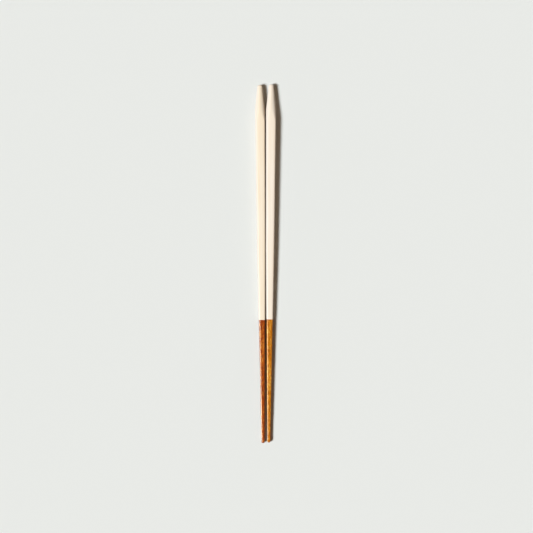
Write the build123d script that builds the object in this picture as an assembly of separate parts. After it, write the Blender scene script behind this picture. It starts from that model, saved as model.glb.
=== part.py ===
"""A pair of wooden chopsticks lying side by side on a table.

Each stick is one piece of wood: a square blank that tapers gently along the handle and more finely
below a blended knee, with long edges that get crisper towards the tip, a blunt cone turned on its
head and a domed tip. A coat of lacquer covers the handle and ends in a low step above the bare
lower part.
Millimetres; +Y runs from the tips to the heads, +Z is up and the handles lie flat on Z = 0.
"""

from build123d import *

import math
import os

# Lengths along one stick
length = 240.0           # finished stick, from tip to head
bare_length = 82.7       # bare wood, from the tip up to the edge of the coat
knee_height = 125.0      # from the tip to where the fine taper meets the handle
knee_blend = 16.0        # length of the curve that joins the two tapers
blend_steps = 6          # straight steps that make up that curve
head_length = 16.5       # head cone, from the end to where it runs out on the flats

# Widths across the flats
tip_width = 2.1          # bare wood at the tip
handle_width = 6.75      # coated handle where the head cone begins
handle_taper = 0.0122    # width lost on each millimetre of handle, towards the tip
head_end_width = 3.3     # head cone at its end, before its edge is rounded

# Roundings and coat
handle_edge_radius = 1.0  # long edges of the bare wood, above the knee
tip_edge_radius = 0.5    # long edges of the bare wood, at the tip
head_rounding = 1.4      # edge of the head's end
tip_dome_rise = 0.5      # height of the domed tip between its flats
coat_thickness = 0.1

# How the two sticks lie
left_lean = 0.5          # degrees, head of the left stick turned away from the right one
right_lean = 0.4         # degrees, head of the right stick turned away from the left one
closest_gap = 0.25       # between the sticks, at their knees
right_advance = 0.35     # right stick lies this much further towards the heads

# Values that follow from the sizes above
shoulder_height = length - head_length
knee_width = handle_width - handle_taper * (shoulder_height - knee_height)
half_knee = knee_width / 2 - coat_thickness
handle_slope = handle_taper / 2
fine_slope = (half_knee - tip_width / 2) / knee_height
handle_pitch = math.degrees(math.atan(handle_slope))
cone_slope = (handle_width - head_end_width) / 2 / head_length
clear_radius = handle_width


def half_width(height):
    """Half the bare width across the flats: two straight tapers joined by a parabola."""
    past_knee = height - knee_height
    in_blend = min(max(past_knee + knee_blend / 2, 0), knee_blend)
    on_handle = in_blend**2 / (2 * knee_blend) + max(past_knee - knee_blend / 2, 0)
    return half_knee + fine_slope * past_knee + (handle_slope - fine_slope) * on_handle


def edge_radius(height):
    """Rounding of the long edges of the bare wood, finer from the knee down to the tip."""
    return tip_edge_radius + min(height / knee_height, 1) * (handle_edge_radius - tip_edge_radius)


def section(height, film):
    """Rounded square across the stick, film thick over the bare wood."""
    width = 2 * (half_width(height) + film)
    return Plane.XZ.offset(-height) * RectangleRounded(width, width, edge_radius(height) + film)


def strip_between(low_edge, high_edge):
    """Skin between the same edge of two sections: a plane between lines, ruled between arcs."""
    if low_edge.geom_type == GeomType.LINE:
        corners = (low_edge @ 0, low_edge @ 1, high_edge @ 1, high_edge @ 0)
        return make_face(Polyline(*corners, close=True)).face()
    return Face.make_surface_from_curves(low_edge, high_edge)


def planed_blank(film):
    """Square tapered blank with flat sides and rounded long edges, film thick over the bare wood."""
    blend = [knee_height + knee_blend * (step / blend_steps - 0.5) for step in range(blend_steps + 1)]
    sections = [section(height, film).face() for height in (0, *blend, length)]
    skin = [sections[0], sections[-1]]
    for lower, upper in zip(sections, sections[1:]):
        skin += [strip_between(*edges) for edges in zip(lower.edges(), upper.edges())]
    return Solid(Shell(skin))


def turned_envelope(film):
    """Round body that cuts the head cone and the domed tip on the blank."""
    half_tip = tip_width / 2
    dome_radius = (half_tip**2 + tip_dome_rise**2) / (2 * tip_dome_rise)
    dome_mid = (dome_radius * math.sqrt(0.5), dome_radius * (1 - math.sqrt(0.5)))
    dome_end = (dome_radius, dome_radius)
    head_end = length - coat_thickness + film
    end_radius = head_end_width / 2 - coat_thickness + film
    cone_start = (clear_radius, head_end - (clear_radius - end_radius) / cone_slope)
    edge_rounding = head_rounding - coat_thickness + film
    outline = ThreePointArc((0, 0), dome_mid, dome_end) + Polyline(
        dome_end,
        (clear_radius, dome_radius),
        cone_start,
        (end_radius, head_end),
        (0, head_end),
        (0, 0),
    )
    profile = make_face(outline)
    end_corner = profile.vertices().group_by(Axis.Y)[-1].sort_by(Axis.X)[-1]
    return revolve(fillet(end_corner, edge_rounding), Axis.Y)


def stick_form(film):
    """Whole stick, film thick over the bare wood, standing along +Y from its tip."""
    return planed_blank(film) & turned_envelope(film)


def chopstick():
    """Finished stick: bare lower part and coated handle, joined at the edge of the coat."""
    coat_edge = Plane.XZ.offset(-bare_length)
    bare = split(stick_form(0), coat_edge, keep=Keep.TOP)
    coated = split(stick_form(coat_thickness), coat_edge, keep=Keep.BOTTOM)
    return bare + coated


def lay_down(stick, lean, side, advance):
    """Stick on the table with its handle flat, leaning by an angle, on side -1 (left) or 1."""
    handle_at_tip = knee_width / 2 - handle_slope * knee_height
    lift = handle_at_tip * math.cos(math.radians(handle_pitch))
    turn = math.radians(lean)
    inner_knee = knee_width / 2 * math.cos(turn) - knee_height * math.sin(turn)
    place = Pos(side * (inner_knee + closest_gap / 2), advance, lift)
    return place * Rot(0, 0, -side * lean) * Rot(handle_pitch, 0, 0) * stick


stick = chopstick()
left = lay_down(stick, left_lean, -1, 0)
right = lay_down(stick, right_lean, 1, right_advance)
middle = left.bounding_box().add(right.bounding_box()).center()
to_origin = Pos(-middle.X, -middle.Y, 0)

os.makedirs("parts", exist_ok=True)
export_step(to_origin * left, "parts/left_chopstick.step")
export_step(to_origin * right, "parts/right_chopstick.step")
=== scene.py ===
"""Dresses a pair of lacquered wooden chopsticks and lays them on a pale table under soft light.

Each stick is modelled again as a fine mesh on the form of its solid: a planed square taper with
rounded long edges, a cone turned on the head, a domed tip, and a coat of ivory lacquer on the
handle that ends in a low lip above the clear-lacquered wood. Its edges and head on the lamp's side
are painted paler in the coat's colour, as a painted highlight.
Lengths are in metres; +Y runs from the tips to the heads, +Z is up and the handles lie flat on
Z = 0.
"""

import logging
import math
from collections.abc import Mapping, Sequence
from dataclasses import dataclass, field
from enum import Enum

import bmesh
import bpy
from mathutils import Euler, Matrix, Vector, noise


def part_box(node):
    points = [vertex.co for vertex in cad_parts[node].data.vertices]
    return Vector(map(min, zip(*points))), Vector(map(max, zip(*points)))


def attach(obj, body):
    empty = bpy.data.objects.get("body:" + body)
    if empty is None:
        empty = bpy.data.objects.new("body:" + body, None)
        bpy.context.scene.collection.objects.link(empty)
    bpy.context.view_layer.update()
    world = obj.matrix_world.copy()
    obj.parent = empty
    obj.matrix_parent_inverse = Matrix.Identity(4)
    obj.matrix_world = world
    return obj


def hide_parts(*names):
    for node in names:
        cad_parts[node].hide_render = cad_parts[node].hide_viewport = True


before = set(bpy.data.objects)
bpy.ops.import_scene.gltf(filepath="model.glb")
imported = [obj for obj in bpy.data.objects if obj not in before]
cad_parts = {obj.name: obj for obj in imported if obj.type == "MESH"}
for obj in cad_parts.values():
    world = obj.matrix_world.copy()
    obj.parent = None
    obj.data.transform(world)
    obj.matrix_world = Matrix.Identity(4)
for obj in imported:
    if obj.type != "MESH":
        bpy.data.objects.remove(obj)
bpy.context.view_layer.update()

MM = 0.001
# Vertex attribute that holds the painted highlight: how far the coat is painted paler toward the lamp
PAINTED_HIGHLIGHT = "painted_highlight"
# Patterns read coordinates that count their features, so each texture's own scale is one
PER_FEATURE = 1.0
RELIEF_STRENGTH = 0.5
log = logging.getLogger("chopsticks")

Socket = bpy.types.NodeSocket
Colour = tuple[float, float, float, float]
WHITE: Colour = (1.0, 1.0, 1.0, 1.0)


def linear(hex_colour: str) -> Colour:
    """Turn an sRGB colour into linear light.

    Args:
        hex_colour: Six hex digits, red first.

    Returns:
        Linear red, green and blue, and an alpha of one.
    """
    shares = [int(hex_colour[place:place + 2], 16) / 255 for place in (0, 2, 4)]
    red, green, blue = (s / 12.92 if s <= 0.04045 else ((s + 0.055) / 1.055) ** 2.4 for s in shares)
    return (red, green, blue, 1.0)


def add_node(
    tree: bpy.types.NodeTree,
    kind: str,
    settings: Mapping[str | int, object] | None = None,
    links: Mapping[str | int, Socket] | None = None,
    **attributes: object,
) -> bpy.types.Node:
    """Add one node to a tree with its settings and links.

    Args:
        tree: Tree that takes the node.
        kind: Type of the node, such as "ShaderNodeTexNoise".
        settings: Constant for each input socket, by name or place.
        links: Output socket that feeds each input socket, by name or place.
        **attributes: Properties of the node itself, such as its operation.

    Returns:
        The new node.
    """
    node = tree.nodes.new(kind)
    for key, value in attributes.items():
        setattr(node, key, value)
    for socket, value in (settings or {}).items():
        node.inputs[socket].default_value = value
    for socket, source in (links or {}).items():
        tree.links.new(source, node.inputs[socket])
    return node


def fill_ramp(node: bpy.types.Node, stops: Sequence[tuple[float, Colour]]) -> None:
    """Give a colour ramp its stops.

    Args:
        node: Colour ramp node, with the two stops that it starts with.
        stops: Place and colour of each stop, in rising order.
    """
    elements = node.color_ramp.elements
    while len(elements) < len(stops):
        elements.new(1.0)
    for element, (place, colour) in zip(elements, stops):
        element.position = place
        element.color = colour


def dimmed(colour: Colour, share: float) -> Colour:
    """Linear colour at the given share of its brightness."""
    red, green, blue, alpha = colour
    return (red * share, green * share, blue * share, alpha)


def soft_minimum(first: float, second: float, softness: float) -> float:
    """Lesser of two lengths, rounded over where they are nearly equal.

    Args:
        first: One length.
        second: The other length.
        softness: Difference over which the change is rounded.

    Returns:
        The lesser length, or a little less near the change.
    """
    if softness <= 0:
        return min(first, second)
    nearness = max(softness - abs(first - second), 0.0) / softness
    return min(first, second) - nearness**2 * softness / 4


class Layer(Enum):
    """Place of each finish among a stick's materials."""

    COAT = 0
    WOOD = 1


class Side(Enum):
    """Left or right, as the sign of that side of the middle."""

    LEFT = -1
    RIGHT = 1


@dataclass(frozen=True)
class StickForm:
    """Shape that both sticks share, standing along +Y from the tip."""

    length: float = 240.0 * MM
    bare_length: float = 82.7 * MM
    knee_height: float = 125.0 * MM
    knee_blend: float = 16.0 * MM
    head_length: float = 16.5 * MM
    tip_width: float = 2.1 * MM
    handle_width: float = 6.75 * MM
    handle_taper: float = 0.0122
    head_end_width: float = 3.3 * MM
    handle_edge_radius: float = 1.0 * MM
    tip_edge_radius: float = 0.5 * MM
    head_rounding: float = 1.4 * MM
    tip_dome_rise: float = 0.5 * MM
    coat_thickness: float = 0.1 * MM

    @property
    def knee_width(self) -> float:
        """Coated width where the two tapers meet."""
        return self.handle_width - self.handle_taper * (self.length - self.head_length - self.knee_height)

    @property
    def pitch(self) -> float:
        """Angle that lays the tapered handle flat on the table."""
        return math.atan(self.handle_taper / 2)

    @property
    def lift(self) -> float:
        """Height of the axis at the tip when the handle lies flat."""
        handle_at_tip = self.knee_width / 2 - self.handle_taper / 2 * self.knee_height
        return handle_at_tip * math.cos(self.pitch)

    def half_width(self, height: float) -> float:
        """Half the bare width across the flats.

        Args:
            height: Distance from the tip.

        Returns:
            Half width of the planed wood, without the coat.
        """
        half_tip = self.tip_width / 2
        half_knee = self.knee_width / 2 - self.coat_thickness
        fine_slope = (half_knee - half_tip) / self.knee_height
        fine = half_tip + fine_slope * height
        handle = half_knee + self.handle_taper / 2 * (height - self.knee_height)
        share = (height - self.knee_height) / self.knee_blend + 0.5
        if share <= 0:
            return fine
        if share >= 1:
            return handle
        start = half_knee - fine_slope * self.knee_blend / 2
        end = half_knee + self.handle_taper / 2 * self.knee_blend / 2
        return (1 - share) ** 2 * start + 2 * share * (1 - share) * half_knee + share**2 * end

    def edge_radius(self, height: float) -> float:
        """Rounding of the bare long edges, finer from the knee down to the tip.

        Args:
            height: Distance from the tip.

        Returns:
            Radius of the planed wood's edges, without the coat.
        """
        share = min(height / self.knee_height, 1.0)
        return self.tip_edge_radius + share * (self.handle_edge_radius - self.tip_edge_radius)

    def turned_radius(self, height: float, film: float) -> float:
        """Radius of the round body that cuts the head cone and the domed tip.

        Args:
            height: Distance from the tip.
            film: Thickness of the coat there.

        Returns:
            Largest distance from the axis that the turning leaves.
        """
        half_tip = self.tip_width / 2
        dome = (half_tip**2 + self.tip_dome_rise**2) / (2 * self.tip_dome_rise)
        if height < dome:
            return math.sqrt(max(dome**2 - (dome - height) ** 2, 0.0))
        slope = (self.handle_width - self.head_end_width) / 2 / self.head_length
        end_radius = self.head_end_width / 2 - self.coat_thickness + film
        rounding = self.head_rounding
        steepness = math.hypot(1, slope)
        centre_radius = end_radius + slope * rounding - rounding * steepness
        past_centre = height - (self.length - rounding)
        if past_centre > rounding * slope / steepness:
            return centre_radius + math.sqrt(max(rounding**2 - past_centre**2, 0.0))
        return end_radius + slope * (self.length - height)


@dataclass(frozen=True)
class Lie:
    """How one stick lies on the table: which side, and how far its head leans outwards."""

    side: Side
    lean: float

    def turn(self, form: StickForm) -> Euler:
        """Turn from standing along +Y to lying on the table."""
        return Euler((form.pitch, 0.0, -self.side.value * self.lean))


@dataclass(frozen=True)
class Grain:
    """Place and turn of one stick's fibres, which its patterns follow."""

    tip: Vector
    turn: Euler

    def along(
        self, tree: bpy.types.NodeTree, across: float, length: float, slew: float = 0.0
    ) -> Socket:
        """Pattern coordinates in units of a real feature size.

        Args:
            tree: Tree that takes the nodes.
            across: Real size of one feature across the fibres.
            length: Real size of one feature along the fibres.
            slew: Angle by which the features run aslant of the stick.

        Returns:
            Vector socket that rises by one over each feature.
        """
        place = add_node(tree, "ShaderNodeTexCoord")
        slant = Euler((self.turn.x, self.turn.y, self.turn.z + slew))
        fibres = add_node(
            tree,
            "ShaderNodeMapping",
            {"Location": self.tip, "Rotation": slant, "Scale": (across, length, across)},
            {"Vector": place.outputs["Object"]},
            vector_type="TEXTURE",
        )
        return fibres.outputs["Vector"]


@dataclass(frozen=True)
class IvoryLacquer:
    """Ivory lacquer, dipped on planed wood and rubbed down to a satin.

    The film levels itself, so the eye gets an even warm white with a soft broad sheen on the rounded
    edges, faint streaks where the grain telegraphs through and a very slight orange peel. Its chalky
    pigment keeps the sides that turn from the lamp pale. A paler, whiter tone is painted on the edges
    and head turned to the lamp, as a painted highlight.
    """

    name: str
    body: str
    streak: str
    # Paler colour of the painted highlight on the edges and head turned to the lamp
    painted_highlight: str
    chalkiness: float = 0.4
    roughness: float = 0.38
    roughness_spread: float = 0.05
    gloss: float = 0.7
    streak_across: float = 2.0 * MM
    streak_length: float = 40.0 * MM
    streak_detail: float = 2.0
    streak_range: tuple[float, float] = (0.36, 0.62)
    peel: float = 1.4 * MM
    peel_detail: float = 2.0
    peel_height: float = 0.012 * MM

    def material(self, grain: Grain) -> bpy.types.Material:
        """Build the finish for one stick.

        Args:
            grain: Where the stick's fibres run.

        Returns:
            The new material.
        """
        made = bpy.data.materials.new(self.name)
        made.use_nodes = True
        tree = made.node_tree
        shader = tree.nodes["Principled BSDF"]
        streaks = add_node(
            tree,
            "ShaderNodeTexNoise",
            {"Scale": PER_FEATURE, "Detail": self.streak_detail},
            {"Vector": grain.along(tree, self.streak_across, self.streak_length)},
        )
        tone = add_node(tree, "ShaderNodeValToRGB", links={"Fac": streaks.outputs["Fac"]})
        fill_ramp(tone, list(zip(self.streak_range, (linear(self.streak), linear(self.body)))))
        # Painted highlight: mixes in the paler colour where the mesh marks the lamp's side
        highlight_mask = add_node(tree, "ShaderNodeAttribute", attribute_name=PAINTED_HIGHLIGHT)
        colour = add_node(
            tree,
            "ShaderNodeMix",
            {"B": linear(self.painted_highlight)},
            {"Factor": highlight_mask.outputs["Fac"], "A": tone.outputs["Color"]},
            data_type="RGBA",
        )
        tree.links.new(colour.outputs["Result"], shader.inputs["Base Color"])
        gloss = add_node(
            tree,
            "ShaderNodeMapRange",
            {
                "To Min": self.roughness - self.roughness_spread,
                "To Max": self.roughness + self.roughness_spread,
            },
            {"Value": streaks.outputs["Fac"]},
        )
        tree.links.new(gloss.outputs["Result"], shader.inputs["Roughness"])
        peel = add_node(
            tree,
            "ShaderNodeTexNoise",
            {"Scale": PER_FEATURE, "Detail": self.peel_detail},
            {"Vector": grain.along(tree, self.peel, self.peel)},
        )
        relief = add_node(
            tree,
            "ShaderNodeBump",
            {"Strength": RELIEF_STRENGTH, "Distance": self.peel_height},
            {"Height": peel.outputs["Fac"]},
        )
        tree.links.new(relief.outputs["Normal"], shader.inputs["Normal"])
        shader.inputs["Diffuse Roughness"].default_value = self.chalkiness
        shader.inputs["Specular IOR Level"].default_value = self.gloss
        return made


@dataclass(frozen=True)
class LacqueredHardwood:
    """Brown hardwood, planed along the grain and wiped with clear lacquer.

    The lacquer wets the wood, so the eye gets a deep saturated brown with long fibre streaks, short
    pale flecks where the fibres dip, dark pores and a slow change of tone along the stick. Light that
    comes back through the stained lacquer is tinted, and the clear top coat adds a whiter line where
    an edge meets the lamp.
    """

    name: str
    dark: str
    body: str
    fleck: str
    pore: str
    sheen: str
    # Places up the bare wood, as shares of its length, and how light the wood is there
    figure: tuple[tuple[float, float], ...]
    # Angle at which the flecks run aslant of the stick
    slew: float
    top_coat: float
    roughness: float = 0.2
    gloss: float = 1.0
    index: float = 1.55
    tone_range: tuple[float, float] = (1.15, 1.95)
    body_tone: float = 0.55
    # Fibres, flecks and pores are a few hundredths of a millimetre wide; they are drawn coarser to show
    fibre_across: float = 0.55 * MM
    fibre_length: float = 9.0 * MM
    fibre_detail: float = 4.0
    fibre_rasp: float = 0.6
    fleck_across: float = 0.55 * MM
    fleck_length: float = 1.1 * MM
    pore_across: float = 0.3 * MM
    pore_length: float = 1.8 * MM
    pore_detail: float = 1.0
    pore_range: tuple[float, float] = (0.62, 0.72)
    pore_depth: float = 0.02 * MM

    def material(self, grain: Grain, form: StickForm) -> bpy.types.Material:
        """Build the finish for one stick.

        Args:
            grain: Where the stick's fibres run.
            form: Shape of the stick, for the length of its bare wood.

        Returns:
            The new material.
        """
        made = bpy.data.materials.new(self.name)
        made.use_nodes = True
        tree = made.node_tree
        shader = tree.nodes["Principled BSDF"]
        fibres = add_node(
            tree,
            "ShaderNodeTexNoise",
            {"Scale": PER_FEATURE, "Detail": self.fibre_detail, "Roughness": self.fibre_rasp},
            {"Vector": grain.along(tree, self.fibre_across, self.fibre_length)},
        )
        flecks = add_node(
            tree,
            "ShaderNodeTexVoronoi",
            {"Scale": PER_FEATURE},
            {"Vector": grain.along(tree, self.fleck_across, self.fleck_length, self.slew)},
        )
        up_stick = add_node(
            tree,
            "ShaderNodeSeparateXYZ",
            links={"Vector": grain.along(tree, form.bare_length, form.bare_length)},
        )
        figure = add_node(tree, "ShaderNodeValToRGB", links={"Fac": up_stick.outputs["Y"]})
        figure.color_ramp.interpolation = "B_SPLINE"
        fill_ramp(figure, [(place, dimmed(WHITE, share)) for place, share in self.figure])
        grain_tone = add_node(
            tree,
            "ShaderNodeMath",
            links={0: fibres.outputs["Fac"], 1: flecks.outputs["Color"]},
            operation="ADD",
        )
        tone = add_node(
            tree,
            "ShaderNodeMath",
            links={0: grain_tone.outputs["Value"], 1: figure.outputs["Color"]},
            operation="ADD",
        )
        depth = add_node(
            tree,
            "ShaderNodeMapRange",
            {"From Min": self.tone_range[0], "From Max": self.tone_range[1]},
            {"Value": tone.outputs["Value"]},
        )
        wood = add_node(tree, "ShaderNodeValToRGB", links={"Fac": depth.outputs["Result"]})
        shades = [(0.0, self.dark), (self.body_tone, self.body), (1.0, self.fleck)]
        fill_ramp(wood, [(place, linear(shade)) for place, shade in shades])
        pores = add_node(
            tree,
            "ShaderNodeTexNoise",
            {"Scale": PER_FEATURE, "Detail": self.pore_detail},
            {"Vector": grain.along(tree, self.pore_across, self.pore_length)},
        )
        pore_mask = add_node(
            tree,
            "ShaderNodeMapRange",
            {"From Min": self.pore_range[0], "From Max": self.pore_range[1]},
            {"Value": pores.outputs["Fac"]},
        )
        colour = add_node(
            tree,
            "ShaderNodeMix",
            {"B": linear(self.pore)},
            {"Factor": pore_mask.outputs["Result"], "A": wood.outputs["Color"]},
            data_type="RGBA",
        )
        tree.links.new(colour.outputs["Result"], shader.inputs["Base Color"])
        relief = add_node(
            tree,
            "ShaderNodeBump",
            {"Strength": RELIEF_STRENGTH, "Distance": self.pore_depth},
            {"Height": pore_mask.outputs["Result"]},
            invert=True,
        )
        tree.links.new(relief.outputs["Normal"], shader.inputs["Normal"])
        shader.inputs["Roughness"].default_value = self.roughness
        shader.inputs["IOR"].default_value = self.index
        shader.inputs["Specular IOR Level"].default_value = self.gloss
        shader.inputs["Specular Tint"].default_value = linear(self.sheen)
        shader.inputs["Coat Weight"].default_value = self.top_coat
        shader.inputs["Coat Roughness"].default_value = self.roughness
        return made


@dataclass
class Chopstick:
    """One stick: a single piece of wood, clear-lacquered below and ivory above."""

    name: str
    node: str
    slot: str
    lie: Lie
    coat: IvoryLacquer
    wood: LacqueredHardwood
    form: StickForm = field(default_factory=StickForm)
    # Lower edge of the coat
    coat_slant: float = 0.0
    coat_waver: float = 0.06 * MM
    waver_reach: float = 3.0 * MM
    lip_length: float = 0.25 * MM
    # What planing and rubbing down by hand leave
    face_crown: float = math.radians(2.0)
    arris_softness: float = 0.12 * MM
    wave_height: float = 0.012 * MM
    wave_across: float = 2.5 * MM
    wave_length: float = 11.0 * MM
    seed: float = 0.0
    # Painted highlight: the coat painted paler on its edges and head on the lamp's side
    highlight_side: Side = Side.LEFT
    cone_highlight: float = 0.6
    highlight_fade: float = 0.25 * MM
    # Fineness of the mesh
    edge_segments: int = 8
    flat_cuts: int = 6
    finest_ring: float = 0.012 * MM
    coarsest_ring: float = 0.6 * MM
    ring_growth: float = 0.2
    weld: float = 0.00012 * MM

    def build(self) -> bpy.types.Object:
        """Model the stick, lay it down and dress it.

        Returns:
            The finished piece, in its place on the table.
        """
        mesh = bpy.data.meshes.new(self.name)
        shape = bmesh.new()
        self._plane_blank(shape)
        self._taper_and_turn(shape)
        tip = self._lay_down(shape)
        shape.to_mesh(mesh)
        shape.free()
        piece = bpy.data.objects.new(self.name, mesh)
        bpy.context.scene.collection.objects.link(piece)
        self._dress(piece, tip)
        return piece

    def _stations(self) -> list[float]:
        """Heights of the rings, close together at the tip, the coat's edge and the head.

        Returns:
            Distances from the tip, from zero to the whole length.
        """
        crowded = (0.0, self.form.bare_length, self.form.length)
        heights = [0.0]
        while heights[-1] < self.form.length:
            here = heights[-1]
            nearest = min(abs(here - goal) for goal in crowded)
            step = min(max(self.finest_ring, self.ring_growth * nearest), self.coarsest_ring)
            ahead = min(goal for goal in crowded if goal > here)
            heights.append(ahead if ahead - here < step + self.finest_ring else here + step)
        return heights

    def _plane_blank(self, shape: bmesh.types.BMesh) -> None:
        """Make a square bar with rounded long edges and a ring of edges at each station.

        Args:
            shape: Empty mesh that takes the bar.
        """
        form = self.form
        stations = self._stations()
        centre = Matrix.Translation((0.0, form.length / 2, 0.0))
        size = Matrix.Diagonal((form.handle_width, form.length, form.handle_width, 1.0))
        bmesh.ops.create_cube(shape, size=1.0, matrix=centre @ size)
        bmesh.ops.bevel(
            shape,
            geom=self._long_edges(shape),
            offset=form.handle_edge_radius,
            segments=self.edge_segments,
            profile=0.5,
            affect="EDGES",
            material=-1,
        )
        flat = form.handle_width - 2 * form.handle_edge_radius
        across = [edge for edge in shape.edges if abs(edge.calc_length() - flat) < form.coat_thickness]
        bmesh.ops.subdivide_edges(shape, edges=across, cuts=self.flat_cuts, use_grid_fill=True)
        spans = len(stations) - 1
        bmesh.ops.subdivide_edges(
            shape, edges=self._long_edges(shape), cuts=spans - 1, use_grid_fill=True
        )
        for vert in shape.verts:
            vert.co.y = stations[round(vert.co.y / form.length * spans)]

    def _long_edges(self, shape: bmesh.types.BMesh) -> list[bmesh.types.BMEdge]:
        """Edges that run the whole length of the bar."""
        return [edge for edge in shape.edges if edge.calc_length() > self.form.length / 2]

    def _film(self, above_edge: float) -> float:
        """Thickness of the coat, which rises from its edge in a rounded lip.

        Args:
            above_edge: Distance up the stick from the edge of the coat.

        Returns:
            Thickness there, zero on the bare wood.
        """
        share = min(max(above_edge / self.lip_length, 0.0), 1.0)
        return self.form.coat_thickness * math.sqrt(1 - (1 - share) ** 2)

    def _section(self, point: Vector, half: float, corner: float) -> tuple[float, float]:
        """Move a point of the bar's section to a narrower section with crowned faces.

        Args:
            point: Point on the square bar.
            half: Half width of the new section, over the crowns of its faces.
            corner: Corner radius of the new section.

        Returns:
            The two coordinates across the stick.
        """
        tilt = self.face_crown
        bar_corner = self.form.handle_edge_radius
        bar_flat = self.form.handle_width / 2 - bar_corner
        flat = (half - corner * (math.cos(tilt) - math.sin(tilt))) / (1 + math.tan(tilt) / 2)
        drop = flat * math.tan(tilt) / 2
        centre = flat - corner * math.sin(tilt)
        across, up = abs(point.x), abs(point.z)
        if across <= bar_flat:
            share = across / bar_flat
            across, up = share * flat, half - drop * share**2
        elif up <= bar_flat:
            share = up / bar_flat
            across, up = half - drop * share**2, share * flat
        else:
            round_share = math.atan2(across - bar_flat, up - bar_flat) / (math.pi / 2)
            angle = tilt + round_share * (math.pi / 2 - 2 * tilt)
            across, up = centre + corner * math.sin(angle), centre + corner * math.cos(angle)
        return math.copysign(across, point.x), math.copysign(up, point.z)

    def _painted_highlight_share(self, point: Vector, turned_away: float) -> float:
        """How far the coat is painted paler on the lamp's side of the stick, as a painted highlight.

        Args:
            point: Point on the square bar.
            turned_away: Zero or less on the planed flats, rising to one where the head is turned.

        Returns:
            Zero where no highlight is painted, rising to one in the middle of an edge turned to the lamp.
        """
        half = self.form.handle_width / 2
        outwards = self.highlight_side.value * point.x / half
        if outwards <= 0:
            return 0.0
        flat = half - self.form.handle_edge_radius
        across, up = abs(point.x) - flat, abs(point.z) - flat
        edge = math.sin(2 * math.atan2(across, up)) if min(across, up) > 0 else 0.0
        return max(edge, self.cone_highlight * turned_away * outwards)

    def _taper_and_turn(self, shape: bmesh.types.BMesh) -> None:
        """Taper the bar, raise the coat and turn the head and the tip.

        Args:
            shape: Bar with a ring at each station.
        """
        form = self.form
        # Layer for the painted highlight, the paler coat on the lamp's side
        painted_highlight = shape.verts.layers.float.new(PAINTED_HIGHLIGHT)
        for face in shape.faces:
            bare = face.calc_center_median().y < form.bare_length
            face.material_index = Layer.WOOD.value if bare else Layer.COAT.value
            face.smooth = True
        for vert in shape.verts:
            height = vert.co.y
            film = self._film(height - form.bare_length)
            half = form.half_width(height) + film
            x, z = self._section(vert.co, half, form.edge_radius(height) + film)
            radius = math.hypot(x, z)
            turned = form.turned_radius(height, film)
            turned_away = min((radius - turned) / self.highlight_fade, 1.0)
            # Painted highlight: marks the edges and head on the lamp's side to be painted paler
            vert[painted_highlight] = self._painted_highlight_share(vert.co, turned_away)
            kept = soft_minimum(radius, turned, min(self.arris_softness, turned))
            vert.co = Vector((x * kept / radius, height, z * kept / radius))
            vert.co.y += self._edge_waver(vert.co)
        bmesh.ops.remove_doubles(shape, verts=shape.verts, dist=self.weld)
        shape.normal_update()
        for vert in shape.verts:
            vert.co += vert.normal * self._unevenness(vert.co)

    def _edge_waver(self, point: Vector) -> float:
        """How far the coat's edge strays up or down the stick, fading out to each side of it.

        Args:
            point: Point on the stick, standing.

        Returns:
            Shift along the stick.
        """
        form = self.form
        reach = abs(point.y - form.bare_length) / self.waver_reach
        if reach >= 1:
            return 0.0
        around = Vector((point.x, point.z, self.seed * form.handle_width)) / form.handle_edge_radius
        return (self.coat_slant * point.x + self.coat_waver * noise.noise(around)) * (1 - reach) ** 2

    def _unevenness(self, point: Vector) -> float:
        """Slight long waves that planing and rubbing down by hand leave in the surface.

        Args:
            point: Point on the stick, standing.

        Returns:
            Height above the true surface.
        """
        across, along = self.wave_across, self.wave_length
        place = Vector((point.x / across + self.seed, point.y / along, point.z / across))
        return self.wave_height * noise.noise(place)

    def _lay_down(self, shape: bmesh.types.BMesh) -> Vector:
        """Turn the stick, and move it so that it fills its solid's box.

        Args:
            shape: Finished stick, standing along +Y from the origin.

        Returns:
            Place of the tip on the table.
        """
        turn = self.lie.turn(self.form).to_matrix().to_4x4()
        bmesh.ops.transform(shape, matrix=turn, verts=shape.verts)
        low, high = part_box(self.node)
        middle = (low + high) / 2
        xs = [vert.co.x for vert in shape.verts]
        ys = [vert.co.y for vert in shape.verts]
        tip = Vector((
            middle.x - (min(xs) + max(xs)) / 2,
            middle.y - (min(ys) + max(ys)) / 2,
            self.form.lift,
        ))
        bmesh.ops.translate(shape, vec=tip, verts=shape.verts)
        return tip

    def _dress(self, piece: bpy.types.Object, tip: Vector) -> None:
        """Give the piece its two finishes.

        Args:
            piece: Object of the finished mesh.
            tip: Place of the stick's tip.
        """
        grain = Grain(tip, self.lie.turn(self.form))
        finishes = {
            Layer.COAT: self.coat.material(grain),
            Layer.WOOD: self.wood.material(grain, self.form),
        }
        for layer in Layer:
            piece.data.materials.append(finishes[layer])


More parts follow.
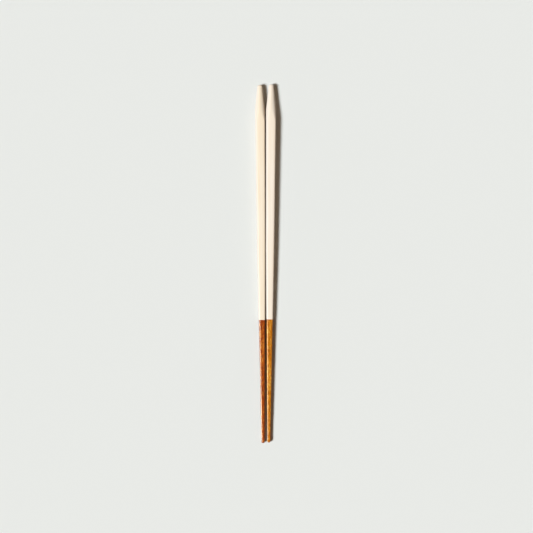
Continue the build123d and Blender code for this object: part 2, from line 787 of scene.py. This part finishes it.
@dataclass(frozen=True)
class Studio:
    """Pale table, one soft lamp and a warm room with a dim ceiling, seen from straight above.

    The lamp and the room together light a level surface with a strength of about one, so that a
    colour renders about as it is written.
    """

    # Picture: the object's middle in pixels from the top left, lens and sensor in millimetres
    image_pixels: int = 533
    pixel: float = 0.670 * MM
    object_middle: tuple[float, float] = (265.65, 263.9)
    aim_height: float = 3.0 * MM
    lens: float = 85.0
    sensor: float = 36.0
    # Table: so wide that a low view sees no edge, and just clear of the sticks
    table: str = "E9EBE8"
    table_roughness: float = 0.9
    table_gloss: float = 0.1
    table_radius: float = 12.0
    table_drop: float = 0.02 * MM
    # Lamp: its share of the light on a level surface, and the share of its own light that bounces on
    lamp_azimuth: float = math.radians(203.0)
    lamp_elevation: float = math.radians(53.7)
    lamp_width: float = math.radians(17.0)
    lamp_tint: str = "F9FDFF"
    lamp_share: float = 0.925
    bounced_share: float = 0.33
    # Room: brightness of its walls and ceiling, and the elevations at which they begin
    room_tint: str = "FFDCBE"
    wall: float = 0.62
    ceiling: float = 0.09
    wall_foot: float = math.radians(3.0)
    foot_fade: float = math.radians(0.3)
    wall_top: float = math.radians(22.0)

    def build(self) -> None:
        """Set up the table, the light and the camera."""
        self._table()
        self._lamp()
        self._room()
        self._camera()
        bpy.context.scene.view_settings.view_transform = "Standard"

    def _table(self) -> None:
        """Lay a plain pale table under the object."""
        mesh = bpy.data.meshes.new("table")
        shape = bmesh.new()
        bmesh.ops.create_grid(
            shape,
            x_segments=1,
            y_segments=1,
            size=self.table_radius,
            matrix=Matrix.Translation((0.0, 0.0, -self.table_drop)),
        )
        shape.to_mesh(mesh)
        shape.free()
        top = bpy.data.objects.new("table", mesh)
        bpy.context.scene.collection.objects.link(top)
        paint = bpy.data.materials.new("matt_white_table")
        paint.use_nodes = True
        shader = paint.node_tree.nodes["Principled BSDF"]
        shader.inputs["Base Color"].default_value = linear(self.table)
        shader.inputs["Roughness"].default_value = self.table_roughness
        shader.inputs["Specular IOR Level"].default_value = self.table_gloss
        mesh.materials.append(paint)

    def _lamp(self) -> None:
        """Hang a soft window light to the left, a little towards the tips.

        A camera's own tone curve holds back the glow that pale wood throws on a pale table, so only
        a part of the light goes on after its first surface.
        """
        level = math.cos(self.lamp_elevation)
        towards = Vector((
            level * math.cos(self.lamp_azimuth),
            level * math.sin(self.lamp_azimuth),
            math.sin(self.lamp_elevation),
        ))
        level_strength = self.lamp_share * math.pi / math.sin(self.lamp_elevation)
        shares = {"window_direct": 1 - self.bounced_share, "window_bounced": self.bounced_share}
        for name, share in shares.items():
            lamp = bpy.data.lights.new(name, "SUN")
            lamp.angle = self.lamp_width
            lamp.color = linear(self.lamp_tint)[:3]
            lamp.energy = level_strength * share
            if name == "window_direct":
                lamp.cycles.max_bounces = 0
            held = bpy.data.objects.new(name, lamp)
            held.rotation_euler = towards.to_track_quat("Z", "Y").to_euler()
            bpy.context.scene.collection.objects.link(held)

    def _room(self) -> None:
        """Surround the table with warm walls under a dim ceiling, and carry its colour up their foot."""
        room = bpy.data.worlds.new("warm_room")
        bpy.context.scene.world = room
        room.use_nodes = True
        tree = room.node_tree
        direction = add_node(tree, "ShaderNodeTexCoord")
        rise = add_node(tree, "ShaderNodeSeparateXYZ", links={"Vector": direction.outputs["Generated"]})
        walls = add_node(tree, "ShaderNodeValToRGB", links={"Fac": rise.outputs["Z"]})
        warm = linear(self.room_tint)
        bands = [
            (self.wall_foot, linear(self.table)),
            (self.wall_foot + self.foot_fade, dimmed(warm, self.wall)),
            (self.wall_top, dimmed(warm, self.ceiling)),
        ]
        fill_ramp(walls, [(math.sin(elevation), colour) for elevation, colour in bands])
        tree.links.new(walls.outputs["Color"], tree.nodes["Background"].inputs["Color"])

    def _camera(self) -> None:
        """Hold the camera straight above, with the object where the picture has it."""
        lens = bpy.data.cameras.new("overhead_camera")
        lens.lens = self.lens
        lens.sensor_width = self.sensor
        view = self.image_pixels * self.pixel
        middle = self.image_pixels / 2
        camera = bpy.data.objects.new("overhead_camera", lens)
        camera.location = (
            (middle - self.object_middle[0]) * self.pixel,
            (self.object_middle[1] - middle) * self.pixel,
            self.aim_height + view * self.lens / self.sensor,
        )
        bpy.context.scene.collection.objects.link(camera)
        bpy.context.scene.camera = camera


def main() -> None:
    """Build the pair and the studio in order and report each piece."""
    logging.basicConfig(level=logging.INFO, format="%(name)s: %(message)s")
    log.info("frame: %d solids", len(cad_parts))
    pair = [
        Chopstick(
            name="left_stick",
            node="left_chopstick",
            slot="left_lacquered_wood",
            lie=Lie(Side.LEFT, math.radians(0.5)),
            coat=IvoryLacquer(
                "ivory_lacquer_rubbed_satin_left",
                body="FEF1DC",
                streak="FBEBD1",
                # Painted highlight: paler colour for the coat's edges and head on the lamp's side
                painted_highlight="ECE2D8",
            ),
            wood=LacqueredHardwood(
                "red_brown_hardwood_clear_lacquered",
                dark="903000",
                body="B84E00",
                fleck="DE9236",
                pore="762A00",
                sheen="FFF4C8",
                figure=((0.0, 0.5), (0.4, 0.48), (0.5, 0.35), (0.66, 0.58), (0.85, 0.66), (0.97, 0.3)),
                slew=math.radians(-18.0),
                top_coat=0.65,
            ),
            coat_slant=-0.02,
            face_crown=math.radians(3.2),
            seed=3.7,
        ),
        Chopstick(
            name="right_stick",
            node="right_chopstick",
            slot="right_lacquered_wood",
            lie=Lie(Side.RIGHT, math.radians(0.4)),
            coat=IvoryLacquer(
                "ivory_lacquer_rubbed_satin_right",
                body="FDF2E3",
                streak="FAECD9",
                # Painted highlight: paler colour for the coat's edges and head on the lamp's side
                painted_highlight="ECE4DC",
            ),
            wood=LacqueredHardwood(
                "golden_hardwood_clear_lacquered",
                dark="A85000",
                body="D88004",
                fleck="F0B650",
                pore="9A5608",
                sheen="FFE9B8",
                gloss=0.8,
                figure=(
                    (0.0, 0.4), (0.2, 0.6), (0.4, 0.4), (0.57, 0.88),
                    (0.72, 0.22), (0.86, 0.8), (1.0, 0.4),
                ),
                slew=math.radians(24.0),
                top_coat=0.4,
            ),
            seed=11.3,
        ),
    ]
    for stick in pair:
        piece = stick.build()
        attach(piece, "root")
        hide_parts(stick.node)
        log.info("%s: %d faces", piece.name, len(piece.data.polygons))
    Studio().build()


if __name__ == "__main__":
    main()
